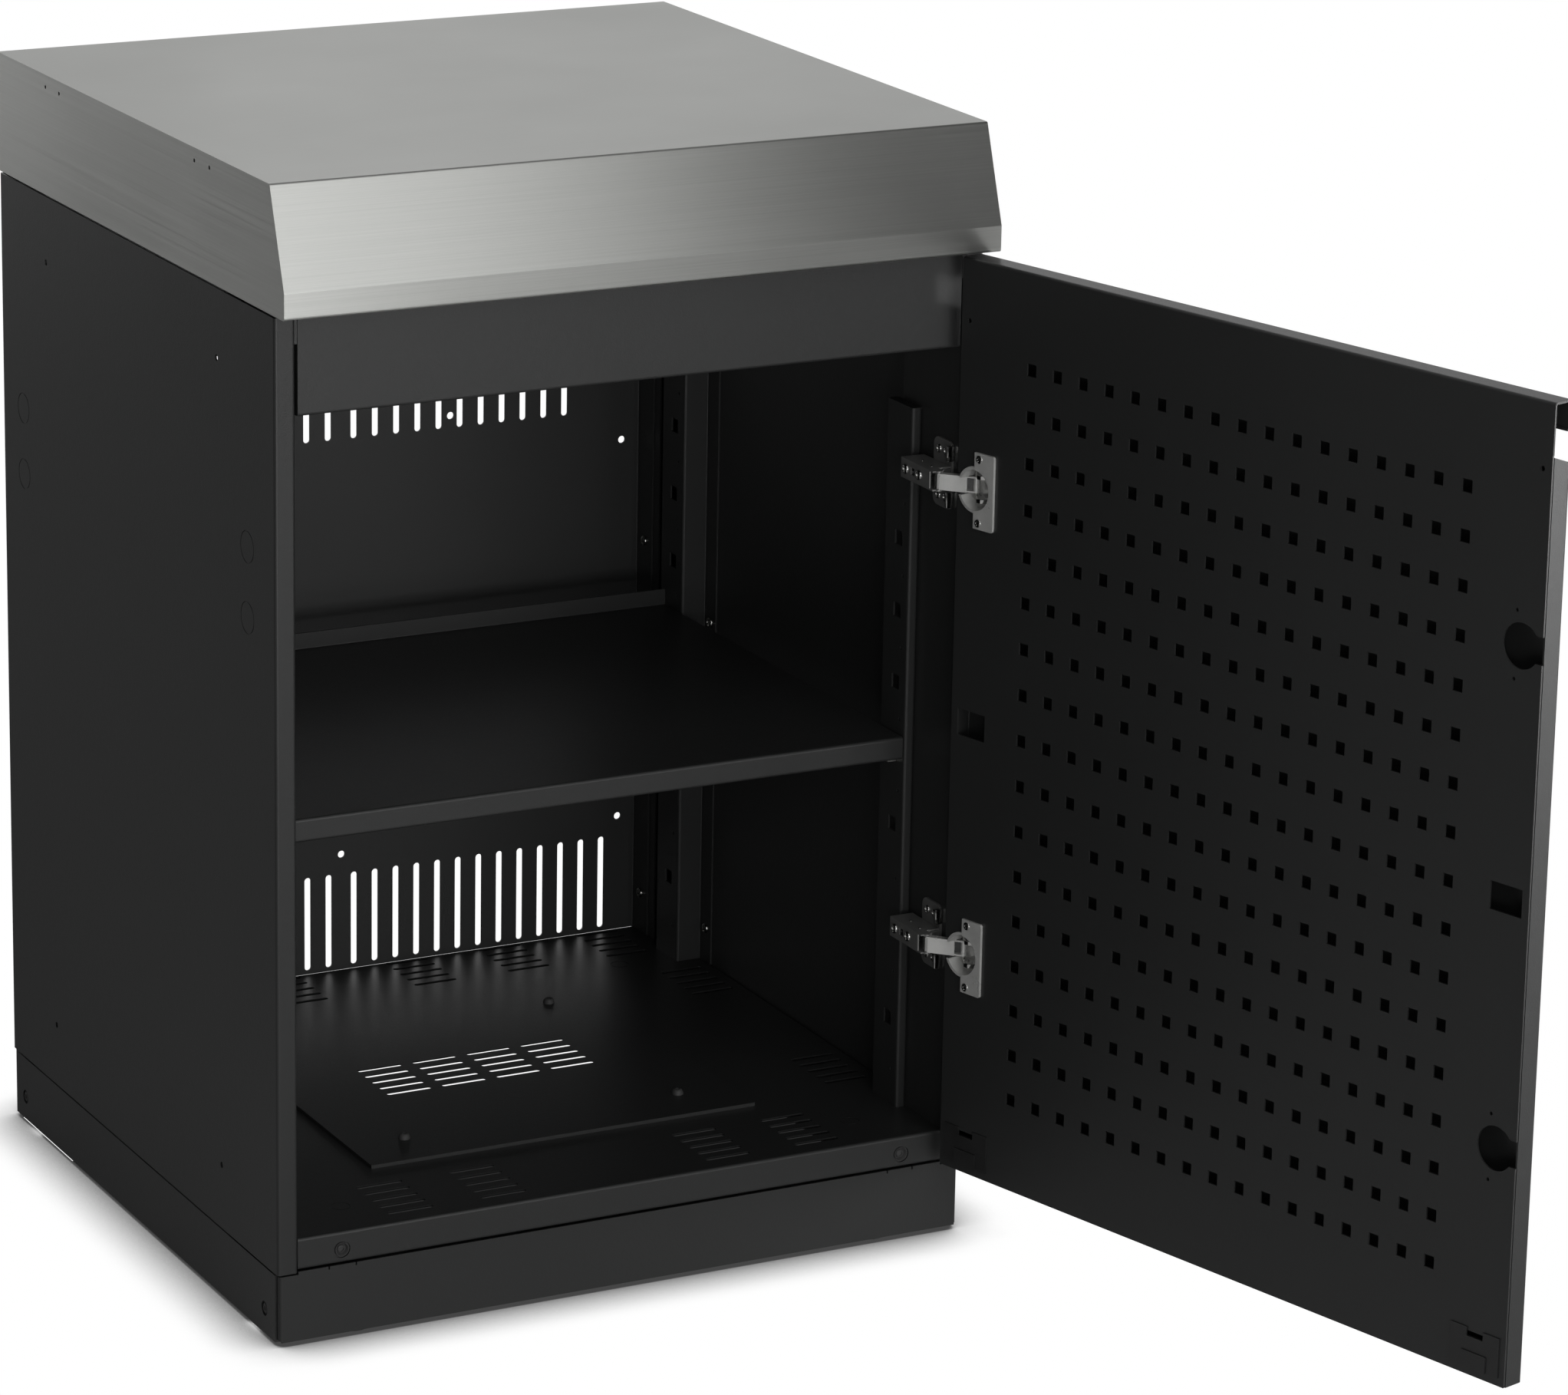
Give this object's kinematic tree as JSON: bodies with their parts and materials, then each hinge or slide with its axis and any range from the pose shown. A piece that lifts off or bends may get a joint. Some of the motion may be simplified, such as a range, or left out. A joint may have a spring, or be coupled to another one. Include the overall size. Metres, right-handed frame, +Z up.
{
  "type": "outdoor kitchen cabinet",
  "caption": "Free-standing steel outdoor kitchen base cabinet with a right-hung perforated door on concealed hinges, an adjustable shelf, a vented floor and a sloped-front worktop.",
  "frame": {"origin": "on the floor, midway between the four levelling feet, which is the centre of the carcass's footprint", "axes": "+Z up, -Y towards the front with the door, +X to the right seen from the front"},
  "size_m": [0.7567, 1.1785, 0.9265],
  "materials": {
    "powder_coat": "matt black powder coat with a fine orange peel",
    "brushed_steel": "stainless steel brushed from side to side",
    "zinc_steel": "zinc plated fasteners",
    "hinge_nickel": "dark nickel plated pressings",
    "hinge_bright": "bright nickel plated pressings",
    "black_plastic": "satin black moulding",
    "rubber": "matt black"
  },
  "bodies": {
    "frame": {"side_panel_left": "powder_coat", "side_panel_right": "powder_coat", "back_panel": "powder_coat", "fascia_rail": "powder_coat", "floor_pan": "powder_coat", "floor_tray": "powder_coat", "tray_screws": "black_plastic", "plinth": "powder_coat", "plinth_back": "powder_coat", "plinth_side_left": "powder_coat", "plinth_side_right": "powder_coat", "plinth_screws": "zinc_steel", "lip_screws": "zinc_steel", "upright_front_left": "powder_coat", "upright_front_right": "powder_coat", "upright_rear_left": "powder_coat", "upright_rear_right": "powder_coat", "upright_screws": "zinc_steel", "back_panel_screws": "zinc_steel", "shelf_clips": "zinc_steel", "worktop_shell": "brushed_steel", "worktop_stiffeners": "powder_coat", "worktop_brackets": "powder_coat", "worktop_screws": "zinc_steel", "hinge_plate_upper": "hinge_nickel", "hinge_plate_lower": "hinge_nickel", "hinge_plate_screws": "zinc_steel", "hinge_arm_upper": "hinge_nickel", "hinge_arm_lower": "hinge_nickel", "hinge_arm_screws": "zinc_steel", "hinge_arm_pins": "zinc_steel"},
    "link_upper": {"hinge_link_upper": "hinge_bright"},
    "link_lower": {"hinge_link_lower": "hinge_bright"},
    "door": {"door_inner_panel": "powder_coat", "door_skin": "powder_coat", "door_corner_plates": "black_plastic", "hinge_cup_upper": "hinge_bright", "hinge_cup_lower": "hinge_bright", "hinge_cup_screws": "zinc_steel", "hinge_cup_pins": "zinc_steel"},
    "shelf": {"shelf": "powder_coat"},
    "foot_front_left": {"foot_front_left": "rubber"},
    "foot_front_right": {"foot_front_right": "rubber"},
    "foot_rear_left": {"foot_rear_left": "rubber"},
    "foot_rear_right": {"foot_rear_right": "rubber"}
  },
  "joints": [
    {"name": "link_upper_swing", "type": "hinge", "parent": "frame", "child": "link_upper", "pos_m": [0.269, -0.2857, 0.6395], "axis": [0, 0, 1], "range_deg": [-0.2, 12.4]},
    {"name": "door_swing", "type": "hinge", "parent": "link_upper", "child": "door", "pos_m": [0.29069, -0.3084, 0.6395], "axis": [0, 0, 1], "range_deg": [-117.05, 0]},
    {"name": "link_lower_swing", "type": "hinge", "parent": "frame", "child": "link_lower", "pos_m": [0.269, -0.2857, 0.252], "axis": [0, 0, 1], "range_deg": [-0.2, 12.4]},
    {"name": "shelf_lift", "type": "slide", "parent": "frame", "child": "shelf", "axis": [0, 0, 1], "range_m": [0, 0.02]},
    {"name": "foot_front_left_turn", "type": "hinge", "parent": "frame", "child": "foot_front_left", "pos_m": [-0.231, -0.267, 0], "axis": [0, 0, 1], "continuous": true},
    {"name": "foot_front_right_turn", "type": "hinge", "parent": "frame", "child": "foot_front_right", "pos_m": [0.231, -0.267, 0], "axis": [0, 0, 1], "continuous": true},
    {"name": "foot_rear_left_turn", "type": "hinge", "parent": "frame", "child": "foot_rear_left", "pos_m": [-0.231, 0.267, 0], "axis": [0, 0, 1], "continuous": true},
    {"name": "foot_rear_right_turn", "type": "hinge", "parent": "frame", "child": "foot_rear_right", "pos_m": [0.231, 0.267, 0], "axis": [0, 0, 1], "continuous": true}
  ],
  "couplings": [
    {"joint": "link_upper_swing", "follows": "door_swing", "ratio": -0.10423},
    {"joint": "link_lower_swing", "follows": "door_swing", "ratio": -0.10423}
  ]
}
